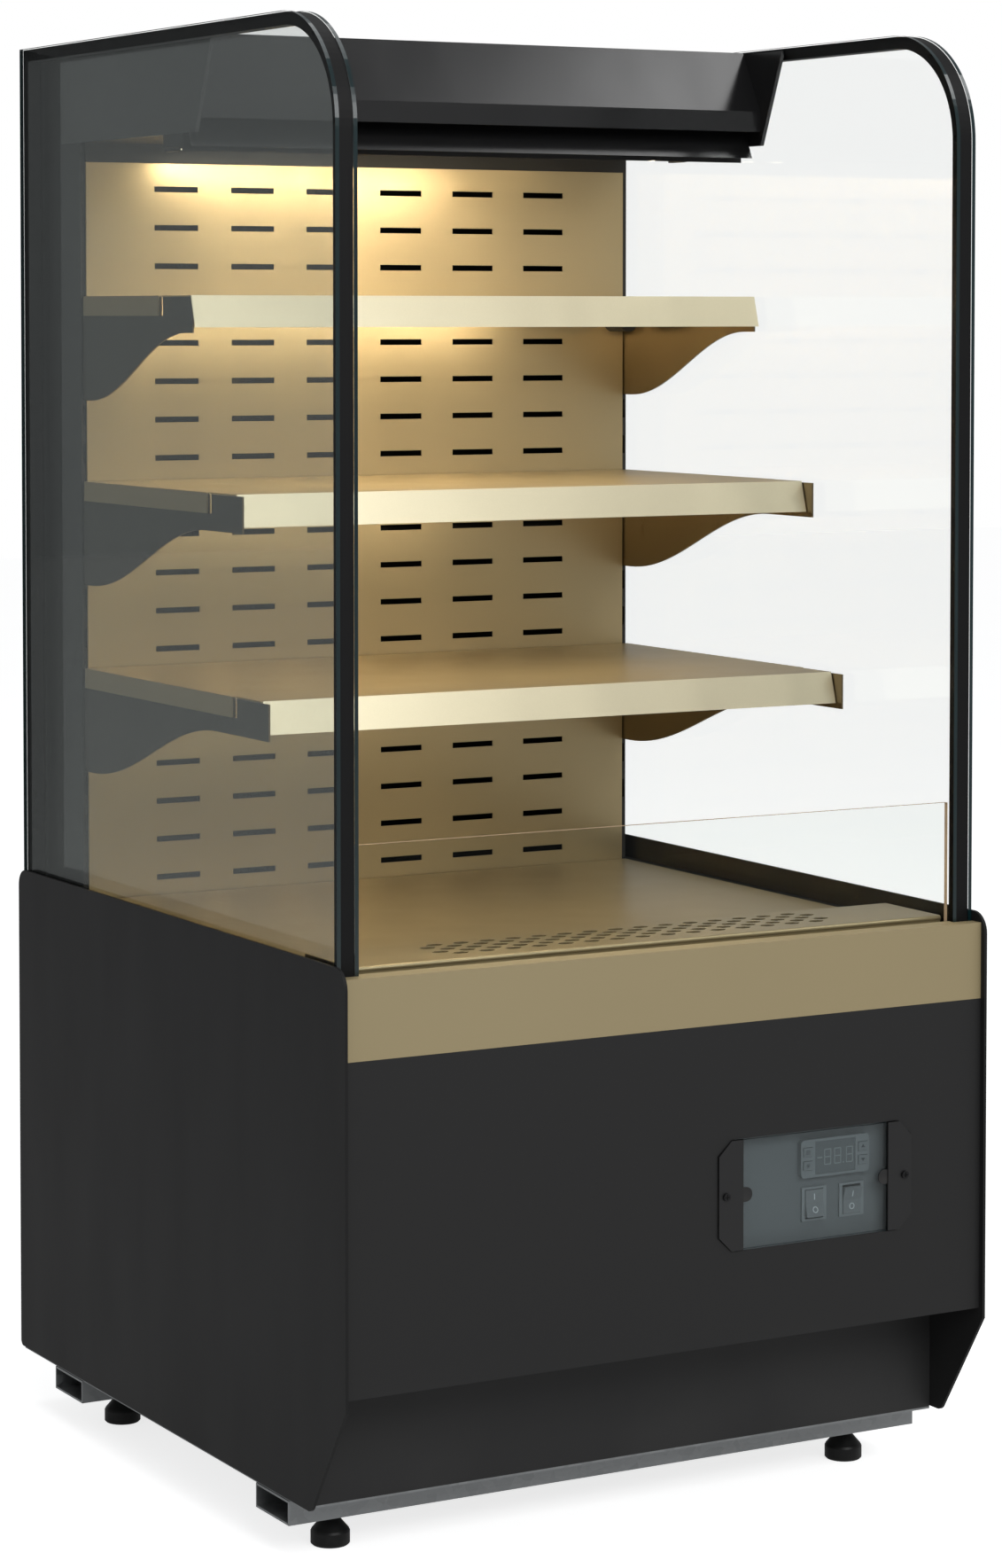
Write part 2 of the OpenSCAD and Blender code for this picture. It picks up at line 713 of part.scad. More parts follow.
// edge of the cover and its screw on side s, -1 left and 1 right
function cover_x(s) = window_x + s * cover_w / 2;
function screw_x(s) = cover_x(s) - s * 8;

module control_tray() {
    w = cover_w / 2 - 16;
    h = cover_h / 2 + tray_rim;
    x0 = window_x - w;
    x1 = window_x + w;
    z0 = window_z - h;
    z1 = window_z + h;
    color([0.35, 0.37, 0.38]) difference() {
        slab(x0 - sheet, x1 + sheet, face_at + sheet, tray_at + sheet, z0 - sheet, z1 + sheet);
        slab(x0, x1, face_at, tray_at, z0, z1);
        slab(ctl_x - ctl_w / 2 + 3.6, ctl_x + ctl_w / 2 - 3.6, tray_at - 1, tray_at + 3,
            ctl_z - ctl_h / 2 + 3.85, ctl_z + ctl_h / 2 - 3.85);
        for (x = rocker_xs)
            slab(x - 12, x + 12, tray_at - 1, tray_at + 3, rocker_z - 14.6, rocker_z + 14.6);
    }
}

module control_window() {
    x0 = cover_x(-1) + 21;
    x1 = cover_x(1) - 21;
    color(clear) difference() {
        slab(x0, x1, face_at, face_at + 2.5, window_z - cover_h / 2 + 0.4, window_z + cover_h / 2 - 0.4);
        for (x = [cover_x(-1) + ear_w - 1, cover_x(1) - ear_w + 1])
            rod_y(x, face_at - 1, face_at + 4, window_z, 6.5, 40);
    }
}

module control_ears() {
    c = 14;
    h = cover_h / 2;
    color(black) for (s = [-1, 1]) difference() {
        face_profile(face_at - 2, face_at, [
            [cover_x(s), window_z - h + c], [cover_x(s), window_z + h - c],
            [cover_x(s) - s * c, window_z + h], [cover_x(s) - s * ear_w, window_z + h],
            [cover_x(s) - s * ear_w, window_z - h], [cover_x(s) - s * c, window_z - h]]);
        rod_y(screw_x(s), face_at - 3, face_at + 1, window_z, 2.1, 24);
    }
}

module control_screws() {
    color(zinc) for (s = [-1, 1]) difference() {
        union() {
            rod_y(screw_x(s), face_at - 4, face_at - 2, window_z, 3.8, 32);
            rod_y(screw_x(s), face_at - 3, face_at + 8, window_z, 1.9, 24);
        }
        // cross recess in the head
        for (arm = [[2.4, 0.4], [0.4, 2.4]])
            slab(screw_x(s) - arm[0], screw_x(s) + arm[0], face_at - 5, face_at - 3.1,
                window_z - arm[1], window_z + arm[1]);
    }
}

ctl_x = window_x + 28;
ctl_z = window_z + 24;
rocker_xs = [window_x + 6.5, window_x + 49.5];
rocker_z = window_z - 20.5;
bezel_t = 6;
// thickness of a button cap behind the bezel face
cap_t = 3;
// display glass half width and half height
disp_w = ctl_w / 2 - 16.2;
disp_h = ctl_h / 2 - 2.65;
// button positions on the bezel: side offset and height offset
button_x = ctl_w / 2 - 7.5;
button_at = [[-button_x, 6.5], [button_x, 6.5], [button_x, -6.5], [-button_x, -6.5]];

module controller_body() {
    f = tray_at - bezel_t;
    w = ctl_w / 2;
    h = ctl_h / 2;
    r = 4;
    color([0.2, 0.2, 0.21]) difference() {
        union() {
            face_profile(f, tray_at, concat(
                arc([ctl_x + w - r, ctl_z + h - r], r, 90, 0, 6),
                arc([ctl_x + w - r, ctl_z - h + r], r, 0, -90, 6),
                arc([ctl_x - w + r, ctl_z - h + r], r, -90, -180, 6),
                arc([ctl_x - w + r, ctl_z + h - r], r, 180, 90, 6)));
            slab(ctl_x - w + 3.8, ctl_x + w - 3.8, tray_at - 0.1, tray_at + 52,
                ctl_z - h + 4.05, ctl_z + h - 4.05);
        }
        // window for the display and pockets for the buttons
        slab(ctl_x - disp_w - 0.2, ctl_x + disp_w + 0.2, f - 1, f + 1.6,
            ctl_z - disp_h - 0.2, ctl_z + disp_h + 0.2);
        for (b = button_at)
            slab(ctl_x + b[0] - 5 - slip, ctl_x + b[0] + 5 + slip, f - 1, f + cap_t + button_travel + 0.7,
                ctl_z + b[1] - 4.2 - slip, ctl_z + b[1] + 4.2 + slip);
    }
}

module controller_display() {
    f = tray_at - bezel_t;
    color([0.4, 0.5, 0.5])
        slab(ctl_x - disp_w, ctl_x + disp_w, f + 0.4, f + 1.6, ctl_z - disp_h, ctl_z + disp_h);
}

module button_cap(i) {
    b = button_at[i];
    f = tray_at - bezel_t;
    color([0.5, 0.52, 0.52]) slab(ctl_x + b[0] - 5, ctl_x + b[0] + 5, f - button_travel, f + cap_t,
        ctl_z + b[1] - 4.2, ctl_z + b[1] + 4.2);
}

module rocker_frames() {
    color([0.12, 0.12, 0.12]) for (x = rocker_xs) difference() {
        union() {
            slab(x - 14, x + 14, tray_at - 2, tray_at, rocker_z - 16.2, rocker_z + 16.2);
            slab(x - 11.8, x + 11.8, tray_at - 0.1, tray_at + 24, rocker_z - 14.5, rocker_z + 14.5);
        }
        slab(x - 10.4, x + 10.4, tray_at - 3, tray_at + 12, rocker_z - 14.1, rocker_z + 14.1);
        // pivot sockets
        translate([fx(x), fy(tray_at + 1), rocker_z]) rotate([0, 90, 0])
            cylinder(h = 22.6, r = 1.5 + shaft_fit, center = true, $fn = 24);
    }
}

module rocker(x, tilt) {
    translate([fx(x), fy(tray_at + 1), rocker_z]) rotate([tilt, 0, 0]) color([0.15, 0.15, 0.15]) {
        translate([-10, 0, 0]) rotate([90, 0, 90]) linear_extrude(20)
            polygon([[-5.6, 13], [-3.8, 0], [-5.6, -13], [-2.5, -13], [5, -6], [5, 6], [-2.5, 13]]);
        rotate([0, 90, 0]) cylinder(h = 22.2, r = 1.5, center = true, $fn = 24);
    }
}

// ---------------------------------------------------------------- refrigeration

comp_x = case_w - comp_from_right;
comp_d = case_d - comp_from_rear;

module compressor() {
    z = pan_z1;
    translate([fx(comp_x), fy(comp_d), z]) color([0.1, 0.1, 0.11]) {
        translate([0, 0, 14]) cylinder(h = 130, r = comp_r, $fn = 64);
        translate([0, 0, 144]) cylinder(h = 26, r1 = comp_r, r2 = comp_r - 32, $fn = 64);
        translate([-comp_r - 17, -60, 8]) cube([2 * comp_r + 34, 120, 6.1]);
        for (x = [-comp_r - 2, comp_r + 2])
            for (y = [-46, 46])
                translate([x, y, 0]) cylinder(h = 9, r = 11, $fn = 24);
        // terminal box
        translate([-30, -comp_r - 18, 60]) cube([60, 30, 56]);
    }
}

coil_x1 = comp_x - comp_r - 122;
coil_x = (coil_x0 + coil_x1) / 2;
// radius of the opening for the condenser fan, within the width and the height of the coil
cowl_r = min((coil_x1 - coil_x0) / 2 - 28, coil_h / 2 - 13);

module condenser() {
    z0 = pan_z1;
    color([0.6, 0.62, 0.64]) {
        slab(coil_x0, coil_x1, 150, 205, z0, z0 + coil_h);
        for (x = [coil_x0 + 5:8:coil_x1 - 7])
            slab(x, x + 1.2, 146, 206, z0 + 4, z0 + coil_h - 4);
        // cowl behind the coil, open in the middle for the fan
        difference() {
            slab(coil_x0, coil_x1, 204, 234, z0, z0 + coil_h);
            slab(coil_x0 + 4, coil_x1 - 4, 206, 230, z0 + 4, z0 + coil_h - 4);
            rod_y(coil_x, 225, 240, z0 + coil_h / 2, cowl_r, 64);
        }
        // return bends of the coil tube
        for (i = [0:5])
            translate([fx(coil_x1), fy(178), z0 + 25 + i * 36])
                rotate([90, 0, 0])
                    difference() {
                        cylinder(h = 9, r = 14, center = true, $fn = 32);
                        cylinder(h = 11, r = 6, center = true, $fn = 24);
                        translate([-40, -20, -8]) cube([40, 40, 16]);
                    }
    }
}

module condenser_fan_motor() {
    x = coil_x;
    z = pan_z1 + coil_h / 2;
    // distance of the bracket rods from the axis
    out = cowl_r + 6;
    color([0.2, 0.2, 0.22]) difference() {
        union() {
            rod_y(x, 262, 320, z, 34, 48);
            // bracket arms back to the cowl
            for (a = [45, 135, 225, 315])
                translate([fx(x), fy(290), z])
                    rotate([0, a, 0])
                        translate([20, -4, -5]) cube([out - 16, 8, 10]);
            for (a = [45, 135, 225, 315])
                translate([fx(x) + out * cos(a), fy(234), z + out * sin(a)])
                    rotate([-90, 0, 0]) cylinder(h = 60, r = 4, $fn = 20);
        }
        rod_y(x, 255, 300, z, 4 + shaft_fit, 32);
    }
}

// five pitched blades on a hub, axis along the depth, hub front at depth d
module fan_rotor(x, d, z, hub, tip, chord, shaft) {
    translate([fx(x), fy(d), z]) {
        rotate([-90, 0, 0]) cylinder(h = 22, r = hub, $fn = 40);
        rotate([-90, 0, 0]) cylinder(h = 22 + shaft, r = 4, $fn = 32);
        for (i = [0:4])
            rotate([0, i * 72, 0])
                translate([hub - 3, 11, 0])
                    rotate([28, 0, 0])
                        translate([0, -1, -chord / 2])
                            cube([tip - hub + 2, 2, chord]);
    }
}

module condenser_fan() {
    color([0.15, 0.15, 0.16])
        fan_rotor(coil_x, 236, pan_z1 + coil_h / 2, 30, cowl_r - 10, 44, 34);
}

// thickness of the tub behind the evaporator
tub_rear = 60;
ev_x0 = 90;
ev_x1 = mid(90);
ev_x = case_w / 2;
ev_d = rear_at - tub_rear - 356;
ev_z0 = tub_z0 + 34;
ev_z1 = tub_z1 - 8;
// radius of the opening for the evaporator fan
ev_cowl_r = (ev_z1 - ev_z0) / 2 - 2.5;
// passage for the pipes through the floor of the tub
pass_x = mid(140);
pass_d = ev_d + 190;

module evaporator() {
    d = ev_d;
    z1 = ev_z1;
    zc = (ev_z0 + z1) / 2;
    color([0.66, 0.68, 0.70]) {
        slab(ev_x0, ev_x1, d + 100, d + 230, ev_z0, z1 - 2);
        for (x = [ev_x0 + 8:12:ev_x1 - 8])
            slab(x, x + 1.5, d + 96, d + 234, ev_z0 + 1, z1);
        // fan cowl in front of the coil, with the motor on a cross bar
        difference() {
            slab(ev_x0, ev_x1, d, d + 101, ev_z0, z1);
            slab(ev_x0 + 2, ev_x1 - 2, d + 2, d + 101.5, ev_z0 + 2, z1 - 2);
            rod_y(ev_x, d - 5, d + 10, zc, ev_cowl_r, 64);
        }
        difference() {
            union() {
                rod_y(ev_x, d + 36, d + 70, zc, 20, 40);
                slab(ev_x0 + 1, ev_x1 - 1, d + 50, d + 62, zc - 5, zc + 5);
            }
            rod_y(ev_x, d + 30, d + 66, zc, 4 + shaft_fit, 32);
        }
    }
}

module evaporator_fan() {
    color([0.2, 0.2, 0.22])
        fan_rotor(ev_x, ev_d + 10, (ev_z0 + ev_z1) / 2, 18, ev_cowl_r - 5, 26, 30);
}

// straight tubes joined by brazed corner blocks
module elbow_run(pts, r) {
    b = 2.6 * r;
    for (i = [1:len(pts) - 2])
        translate([fx(pts[i][0]) - b / 2, fy(pts[i][1]) - b / 2, pts[i][2] - b / 2]) cube(b);
    for (i = [0:len(pts) - 2])
        let (a = pts[i], v = pts[i + 1] - a)
            translate([fx(a[0]), fy(a[1]), a[2]])
                rotate([-90 * sign(v[1]), v[2] < 0 ? 180 : 90 * sign(v[0]), 0])
                    cylinder(h = norm(v), r = r, $fn = 20);
}

module refrigerant_pipes() {
    z = pan_z1;
    hot_x = coil_x1 + 70;
    liquid_x = coil_x1 + 90;
    bend = coil_x1 + 14;
    back = pass_d + 40;
    color([0.75, 0.45, 0.3]) {
        // discharge from the compressor to the condenser
        elbow_run([[comp_x - comp_r, comp_d, z + 120], [hot_x, comp_d, z + 120], [hot_x, 178, z + 120],
            [hot_x, 178, z + 205], [bend, 178, z + 205]], pipe_r + 1);
        // liquid line up through the tub to the evaporator
        elbow_run([[bend, 178, z + 25], [liquid_x, 178, z + 25], [liquid_x, back, z + 25],
            [liquid_x, back, z + 260], [pass_x + 6, back, z + 260], [pass_x + 6, pass_d + 4, z + 260],
            [pass_x + 6, pass_d + 4, ev_z0]], pipe_r);
        // suction line back to the compressor
        elbow_run([[pass_x - 6, pass_d - 4, ev_z0], [pass_x - 6, pass_d - 4, z + 235],
            [comp_x, pass_d - 4, z + 235], [comp_x, comp_d + 20, z + 235],
            [comp_x, comp_d + 20, z + 170]], pipe_r + 2);
    }
}

module mains_inlet() {
    color([0.1, 0.1, 0.1]) difference() {
        union() {
            rod_y(70, rear_at - 14, rear_at + 3.9, 110, 12, 48);
            rod_y(70, rear_at + sheet, rear_at + 3.9, 110, 14.5, 6);
        }
        rod_y(70, rear_at - 20, rear_at + 10, 110, 4.5, 32);
    }
}

base_rails();
base_pan();
foot(foot_inset, rail_front_at + rail_dep / 2);  // foot_front_left
foot(mid(foot_inset), rail_front_at + rail_dep / 2);  // foot_front_right
foot(foot_inset, rail_rear_at + rail_dep / 2);  // foot_rear_left
foot(mid(foot_inset), rail_rear_at + rail_dep / 2);  // foot_rear_right
side_panel();  // side_panel_left
mirror([1, 0, 0]) side_panel();  // side_panel_right
front_panel();
front_strip();
kick_plate();
rear_cover();
rear_wall();
insulated_tub();
deck_tray();
air_return_grille();
guard_glass();
back_panel();
shelf_uprights();
side_glass_panes();
side_glass_spacers();
canopy_ends();
canopy_shell();
canopy_fascia();
air_deflector();
air_outlet_honeycomb();
canopy_lamp();
shelf_plate(0);  // shelf_lower_plate
shelf_brackets(0);  // shelf_lower_brackets
price_rail(0);  // shelf_lower_price_rail
shelf_lamp(0);  // shelf_lower_lamp
shelf_plate(1);  // shelf_middle_plate
shelf_brackets(1);  // shelf_middle_brackets
price_rail(1);  // shelf_middle_price_rail
shelf_lamp(1);  // shelf_middle_lamp
shelf_plate(2);  // shelf_upper_plate
shelf_brackets(2);  // shelf_upper_brackets
price_rail(2);  // shelf_upper_price_rail
shelf_lamp(2);  // shelf_upper_lamp
control_tray();
control_window();
control_ears();
control_screws();
controller_body();
controller_display();
button_cap(0);  // button_set
button_cap(1);  // button_up
button_cap(2);  // button_down
button_cap(3);  // button_defrost
rocker_frames();
rocker(rocker_xs[0], -rocker_tilt);  // rocker_power
rocker(rocker_xs[1], rocker_tilt);  // rocker_light
compressor();
condenser();
condenser_fan_motor();
condenser_fan();
evaporator();
evaporator_fan();
refrigerant_pipes();
mains_inlet();
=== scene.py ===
# %% [markdown]
# # A refrigerated display case for a bakery counter
#
# The real case is a folded-steel cabinet with a cold tub at its base, two double-glazed sides, three
# shelves hooked on a slotted back and a canopy that drops a curtain of cold air. The engineering model
# already fixes every size and every moving body. This lesson dresses it: each panel gets its own finish,
# small marks and digits are added as thin relief, and warm strip lamps light the bay.

# %% Load the engineered frame
import math
import bpy
import bmesh
from mathutils import Vector, Matrix


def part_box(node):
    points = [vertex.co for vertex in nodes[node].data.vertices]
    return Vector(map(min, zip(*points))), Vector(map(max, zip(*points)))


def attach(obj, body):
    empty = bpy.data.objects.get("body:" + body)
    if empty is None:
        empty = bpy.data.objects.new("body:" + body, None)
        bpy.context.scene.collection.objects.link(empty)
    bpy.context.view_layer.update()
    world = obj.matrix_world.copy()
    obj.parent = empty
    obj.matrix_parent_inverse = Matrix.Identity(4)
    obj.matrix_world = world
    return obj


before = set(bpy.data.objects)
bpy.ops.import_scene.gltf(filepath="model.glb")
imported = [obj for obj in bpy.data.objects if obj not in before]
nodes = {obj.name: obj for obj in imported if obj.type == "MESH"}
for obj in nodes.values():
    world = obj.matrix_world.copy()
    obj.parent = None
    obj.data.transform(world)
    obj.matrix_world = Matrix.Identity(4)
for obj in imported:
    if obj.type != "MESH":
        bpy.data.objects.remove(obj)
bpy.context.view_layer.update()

scene = bpy.context.scene

# %% [markdown]
# ## Shader arithmetic that reads like Python
#
# A finish on a real sheet is a sum of small effects: a tint, a little cloudiness, a fine grain. Writing
# those sums as node wiring is hard to read, so one small class wraps an output socket. Adding or
# multiplying two wrapped values creates the Math node behind the scenes, vectors and colours go through
# Vector Math, and every other node comes from a single method, `node`.

# %% The Wire class
class Wire:
    """One output socket of a material, with arithmetic."""

    def __init__(self, tree, socket=None):
        self.tree, self.socket = tree, socket

    def node(self, kind, settings=None, inputs=None, out=0):
        made = self.tree.nodes.new(kind)
        for name, value in (settings or {}).items():
            if name == "stops":
                ramp = made.color_ramp
                while len(ramp.elements) < len(value):
                    ramp.elements.new(0.5)
                for element, (at, colour) in zip(ramp.elements, value):
                    element.position = at
                    element.color = tuple(colour) + (1.0,)
            else:
                setattr(made, name, value)
        for name, value in (inputs or {}).items():
            target = made.inputs[name]
            if isinstance(value, Wire):
                self.tree.links.new(value.socket, target)
            elif target.type == "RGBA" and len(value) == 3:
                target.default_value = tuple(value) + (1.0,)
            else:
                target.default_value = value
        return Wire(self.tree, made.outputs[out])

    def _sum(self, how, a, b):
        flat = not any(isinstance(v, Wire) and v.socket.type in ("VECTOR", "RGBA") for v in (a, b))
        kind = "ShaderNodeMath" if flat else "ShaderNodeVectorMath"
        if not flat:
            a, b = [v if isinstance(v, Wire) or hasattr(v, "__len__") else (v, v, v) for v in (a, b)]
        return self.node(kind, {"operation": how}, {0: a, 1: b})

    def __add__(self, other):
        return self._sum("ADD", self, other)

    def __sub__(self, other):
        return self._sum("SUBTRACT", self, other)

    def __rsub__(self, other):
        return self._sum("SUBTRACT", other, self)

    def __mul__(self, other):
        return self._sum("MULTIPLY", self, other)

    __radd__ = __add__
    __rmul__ = __mul__

    def clip(self, low, high):
        """0 at low and 1 at high, held inside that range."""
        limits = {"Value": self, "From Min": low, "From Max": high}
        return self.node("ShaderNodeMapRange", {"clamp": True}, limits)

    def blend(self, first, second):
        """A colour: first where this value is 0, second where it is 1."""
        return self.node("ShaderNodeMix", {"data_type": "RGBA"}, {0: self, 6: first, 7: second}, out=2)


def new_finish(name):
    """A material, a Wire to grow nodes from, and the Principled shader to plug them into."""
    finish = bpy.data.materials.new(name)
    finish.use_nodes = True
    tree = finish.node_tree
    shader = next(n for n in tree.nodes if n.type == "BSDF_PRINCIPLED")
    return finish, Wire(tree), shader


def plug(shader, **values):
    """Sets sockets of a shader; a Wire is linked and a number is stored on the socket itself."""
    tree = shader.id_data
    for name, value in values.items():
        target = shader.inputs[name.replace("_", " ")]
        if isinstance(value, Wire):
            tree.links.new(value.socket, target)
        elif target.type == "RGBA":
            target.default_value = tuple(value) + (1.0,)
        else:
            target.default_value = value


def noise(w, size_mm, detail=3.0, stretch=(1, 1, 1)):
    """Noise whose lumps are about size_mm across, read in the case's own metres."""
    place = w.node("ShaderNodeTexCoord", out=3)
    lumps = {"Vector": place * tuple(stretch), "Scale": 1000.0 / size_mm, "Detail": detail}
    return w.node("ShaderNodeTexNoise", None, lumps)


def tinted(w, shade, colour):
    """The colour, made lighter or darker by shade."""
    return w.node("ShaderNodeCombineXYZ", None, {axis: shade * part for axis, part in enumerate(colour)})


def height_of(w):
    """Height above the floor in metres."""
    place = w.node("ShaderNodeTexCoord", out=3)
    return w.node("ShaderNodeSeparateXYZ", None, {0: place}, out=2)


def relief(w, height, depth_mm):
    """A bump as deep as depth_mm where height runs from 0 to 1."""
    return w.node("ShaderNodeBump", None, {"Height": height, "Strength": 1.0, "Distance": depth_mm / 1000.0})


print("shader helpers ready")

# %% [markdown]
# ## Powder coat
#
# Nearly every panel is powder-coated steel. Baked powder never lies flat: it has a fine grain of under a
# millimetre and a slow ripple like the skin of an orange. The gloss wanders a little, and hands and cloths
# leave faint duller clouds. All four are noises of different sizes, feeding only the colour, the roughness
# and a shallow bump.

# %% Black and gold powder coats
def powder_coat(name, colour, rough, metal=0.0, grain=0.02, sparkle=0.0, wear=0.06, level=0.5):
    finish, w, shader = new_finish(name)
    fine = noise(w, 0.9, 2.0)
    peel = noise(w, 5.0, 1.0)
    cloud = noise(w, 190.0, 3.0)
    smear = noise(w, 60.0, 4.0, stretch=(1.0, 1.0, 0.25))
    shade = 1.0 + (cloud - 0.5) * wear + (fine - 0.5) * sparkle
    tint = tinted(w, shade, colour)
    dust = height_of(w).clip(0.20, 0.0) * cloud.clip(0.45, 0.62) * 0.03
    plug(shader, Base_Color=dust.blend(tint, (0.30, 0.29, 0.27)),
         Roughness=rough + (smear - 0.5) * 0.12 + (fine - 0.5) * 0.05 + dust,
         Metallic=metal, Specular_IOR_Level=level,
         Normal=relief(w, fine * 0.5 + peel, grain))
    return finish


black_coat = powder_coat("black_powder_coat", (0.0146, 0.0146, 0.0148), 0.50, level=0.24)
# Painted light: the kick plate gets the same black coat made lighter, to make up for the shade it stands in
# under the front panel.
kick_plate_lit_black = powder_coat("kick_plate_painted_light", (0.0205, 0.0205, 0.0208), 0.50, level=0.24)
side_black = powder_coat("side_panel_black", (0.0146, 0.0146, 0.0148), 0.46, level=0.10)
canopy_black = powder_coat("canopy_gloss_black", (0.006, 0.006, 0.0063), 0.20, grain=0.006, level=0.6)
gold_coat = powder_coat("gold_powder_coat", (0.385, 0.312, 0.180), 0.33, metal=0.7, sparkle=0.16, wear=0.08)
gold_strip = powder_coat("gold_front_strip", (0.312, 0.252, 0.138), 0.50, metal=0.25, sparkle=0.12, wear=0.05)
bronze_coat = powder_coat("bronze_bracket_coat", (0.155, 0.118, 0.064), 0.30, metal=0.8, grain=0.008,
                          sparkle=0.12, wear=0.08)
# Painted shade: a darker olive copy of the bracket coat, for the bracket faces that look away from the middle
# of the case.
bracket_shade_coat = powder_coat("bracket_outside_painted_shade", (0.040, 0.037, 0.027), 0.42, metal=0.1, grain=0.008,
                         sparkle=0.10, level=0.25)
price_gold = powder_coat("price_rail_gold", (0.68, 0.615, 0.43), 0.33, metal=0.75, sparkle=0.10, wear=0.05)
tray_grey = powder_coat("control_tray_grey", (0.190, 0.200, 0.204), 0.55, grain=0.004, wear=0.1)
print("powder coats:", [m.name for m in (black_coat, canopy_black, gold_coat, gold_strip, bronze_coat)])

# %% [markdown]
# ## Zinc, rubber, foam and machine parts
#
# The base is galvanised: zinc freezes in flat crystals, the spangle, each reflecting a little
# differently. A Voronoi pattern gives every crystal its own shade and roughness. The feet are moulded
# nylon with a fine spark-eroded grain, and the hidden machinery has plain shop finishes.

# %% Zinc and moulded parts
def zinc(name, colour):
    finish, w, shader = new_finish(name)
    place = w.node("ShaderNodeTexCoord", out=3)
    drift = w.node("ShaderNodeTexNoise", None, {"Vector": place, "Scale": 60.0}, out=1)
    crystal = w.node("ShaderNodeTexVoronoi", None, {"Vector": place + (drift - (0.5, 0.5, 0.5)) * 0.01,
                                                    "Scale": 95.0}, out=1)
    tone = w.node("ShaderNodeSeparateXYZ", None, {0: crystal})
    scratch = noise(w, 1.6, 4.0, stretch=(0.05, 1.0, 1.0))
    shade = 0.86 + tone * 0.2 + (scratch - 0.5) * 0.12
    plug(shader, Base_Color=tinted(w, shade, colour), Metallic=0.85,
         Roughness=0.34 + tone * 0.16 + (scratch - 0.5) * 0.1,
         Normal=relief(w, scratch, 0.02))
    return finish


def moulded(name, colour, rough, grain_mm=0.35, level=0.5, metal=0.0, variation=0.12):
    finish, w, shader = new_finish(name)
    grain = noise(w, grain_mm, 2.0)
    cloud = noise(w, 22.0, 3.0)
    shade = 1.0 + (cloud - 0.5) * variation + (grain - 0.5) * 0.08
    dust = height_of(w).clip(0.05, 0.0) * cloud.clip(0.4, 0.6) * 0.04
    tint = tinted(w, shade, colour)
    plug(shader, Base_Color=dust.blend(tint, (0.25, 0.24, 0.22)),
         Roughness=rough + (cloud - 0.5) * 0.14, Metallic=metal, Specular_IOR_Level=level,
         Normal=relief(w, grain, 0.015))
    return finish


galvanised = zinc("galvanised_steel", (0.27, 0.28, 0.285))
screw_steel = zinc("blackened_screw_steel", (0.022, 0.022, 0.023))
foot_nylon = moulded("foot_nylon", (0.006, 0.006, 0.006), 0.42, level=0.26)
control_black = moulded("control_black", (0.010, 0.010, 0.0105), 0.42, level=0.35)
rocker_grey = moulded("rocker_grey", (0.25, 0.26, 0.265), 0.36)
frame_grey = moulded("rocker_frame_grey", (0.30, 0.315, 0.32), 0.45)
key_grey = moulded("key_grey", (0.24, 0.255, 0.26), 0.5)
bezel_grey = moulded("controller_bezel", (0.26, 0.275, 0.28), 0.42)
display_grey = moulded("display_face", (0.145, 0.158, 0.162), 0.22, grain_mm=2.0)
gap_shade_black = moulded("gap_shade_black", (0.0015, 0.0015, 0.0015), 0.6, level=0.1)
mark_white = moulded("switch_mark_white", (0.80, 0.82, 0.82), 0.5)
faint_mark = moulded("display_segment", (0.30, 0.32, 0.325), 0.3)
dark_groove = moulded("groove_shadow", (0.05, 0.055, 0.058), 0.6)
spacer_black = moulded("glazing_spacer", (0.005, 0.005, 0.0053), 0.5, grain_mm=1.2, level=0.15)
comb_black = moulded("honeycomb_black", (0.02, 0.02, 0.021), 0.6)
foam_white = moulded("liner_white", (0.62, 0.62, 0.59), 0.5, grain_mm=2.0)
machine_black = moulded("machine_enamel", (0.011, 0.011, 0.012), 0.25, grain_mm=3.0)
fin_metal = zinc("coil_fin_aluminium", (0.72, 0.73, 0.75))
copper = moulded("tarnished_copper", (0.52, 0.24, 0.12), 0.34, metal=0.9, variation=0.6)
print("shop finishes ready")

# %% [markdown]
# ## Glass
#
# Each side is a sealed pair of 4 mm panes. Seen face on it only takes a few percent of the light and
# mirrors a little more near grazing, while its cut edges glow a dark sea green because light travels
# the length of the sheet. The face is therefore a thin mix of a clear and a mirror shader, and the edges
# get a second, solid green finish picked by the direction each face points. The left pair has a slightly
# deeper tint than the right one, because the two catch the studio light differently.

# %% Pane, edge and display glass
def pane_glass(name, passes, mirror):
    finish, w, shader = new_finish(name)
    tree = finish.node_tree
    tree.nodes.remove(shader)
    cloud = noise(w, 120.0, 2.0)
    clear = w.node("ShaderNodeBsdfTransparent", None, {"Color": passes})
    shine = {"Color": (0.92, 0.96, 0.95), "Roughness": 0.02 + cloud * 0.02}
    gloss = w.node("ShaderNodeBsdfGlossy", None, shine)
    edge_on = w.node("ShaderNodeFresnel", None, {"IOR": 1.45})
    share = edge_on * mirror
    mix = w.node("ShaderNodeMixShader", None, {0: share, 1: clear, 2: gloss})
    out = next(n for n in tree.nodes if n.type == "OUTPUT_MATERIAL")
    tree.links.new(mix.socket, out.inputs["Surface"])
    return finish


def glass_edge(name, colour):
    finish, w, shader = new_finish(name)
    ripple = noise(w, 3.0, 3.0, stretch=(1, 0.15, 0.15))
    shade = 0.7 + ripple * 0.6
    plug(shader, Base_Color=tinted(w, shade, colour), Roughness=0.16 + (ripple - 0.5) * 0.1, Coat_Weight=0.2)
    return finish


left_glass = pane_glass("left_pane_glass", (0.935, 0.942, 0.938), 0.12)
right_glass = pane_glass("right_pane_glass", (0.992, 0.995, 0.993), 0.05)
guard_glass = pane_glass("guard_pane_glass", (0.975, 0.985, 0.980), 0.12)
window_glass = pane_glass("control_window_glass", (0.80, 0.83, 0.84), 0.5)
green_edge = glass_edge("green_glass_edge", (0.003, 0.014, 0.016))
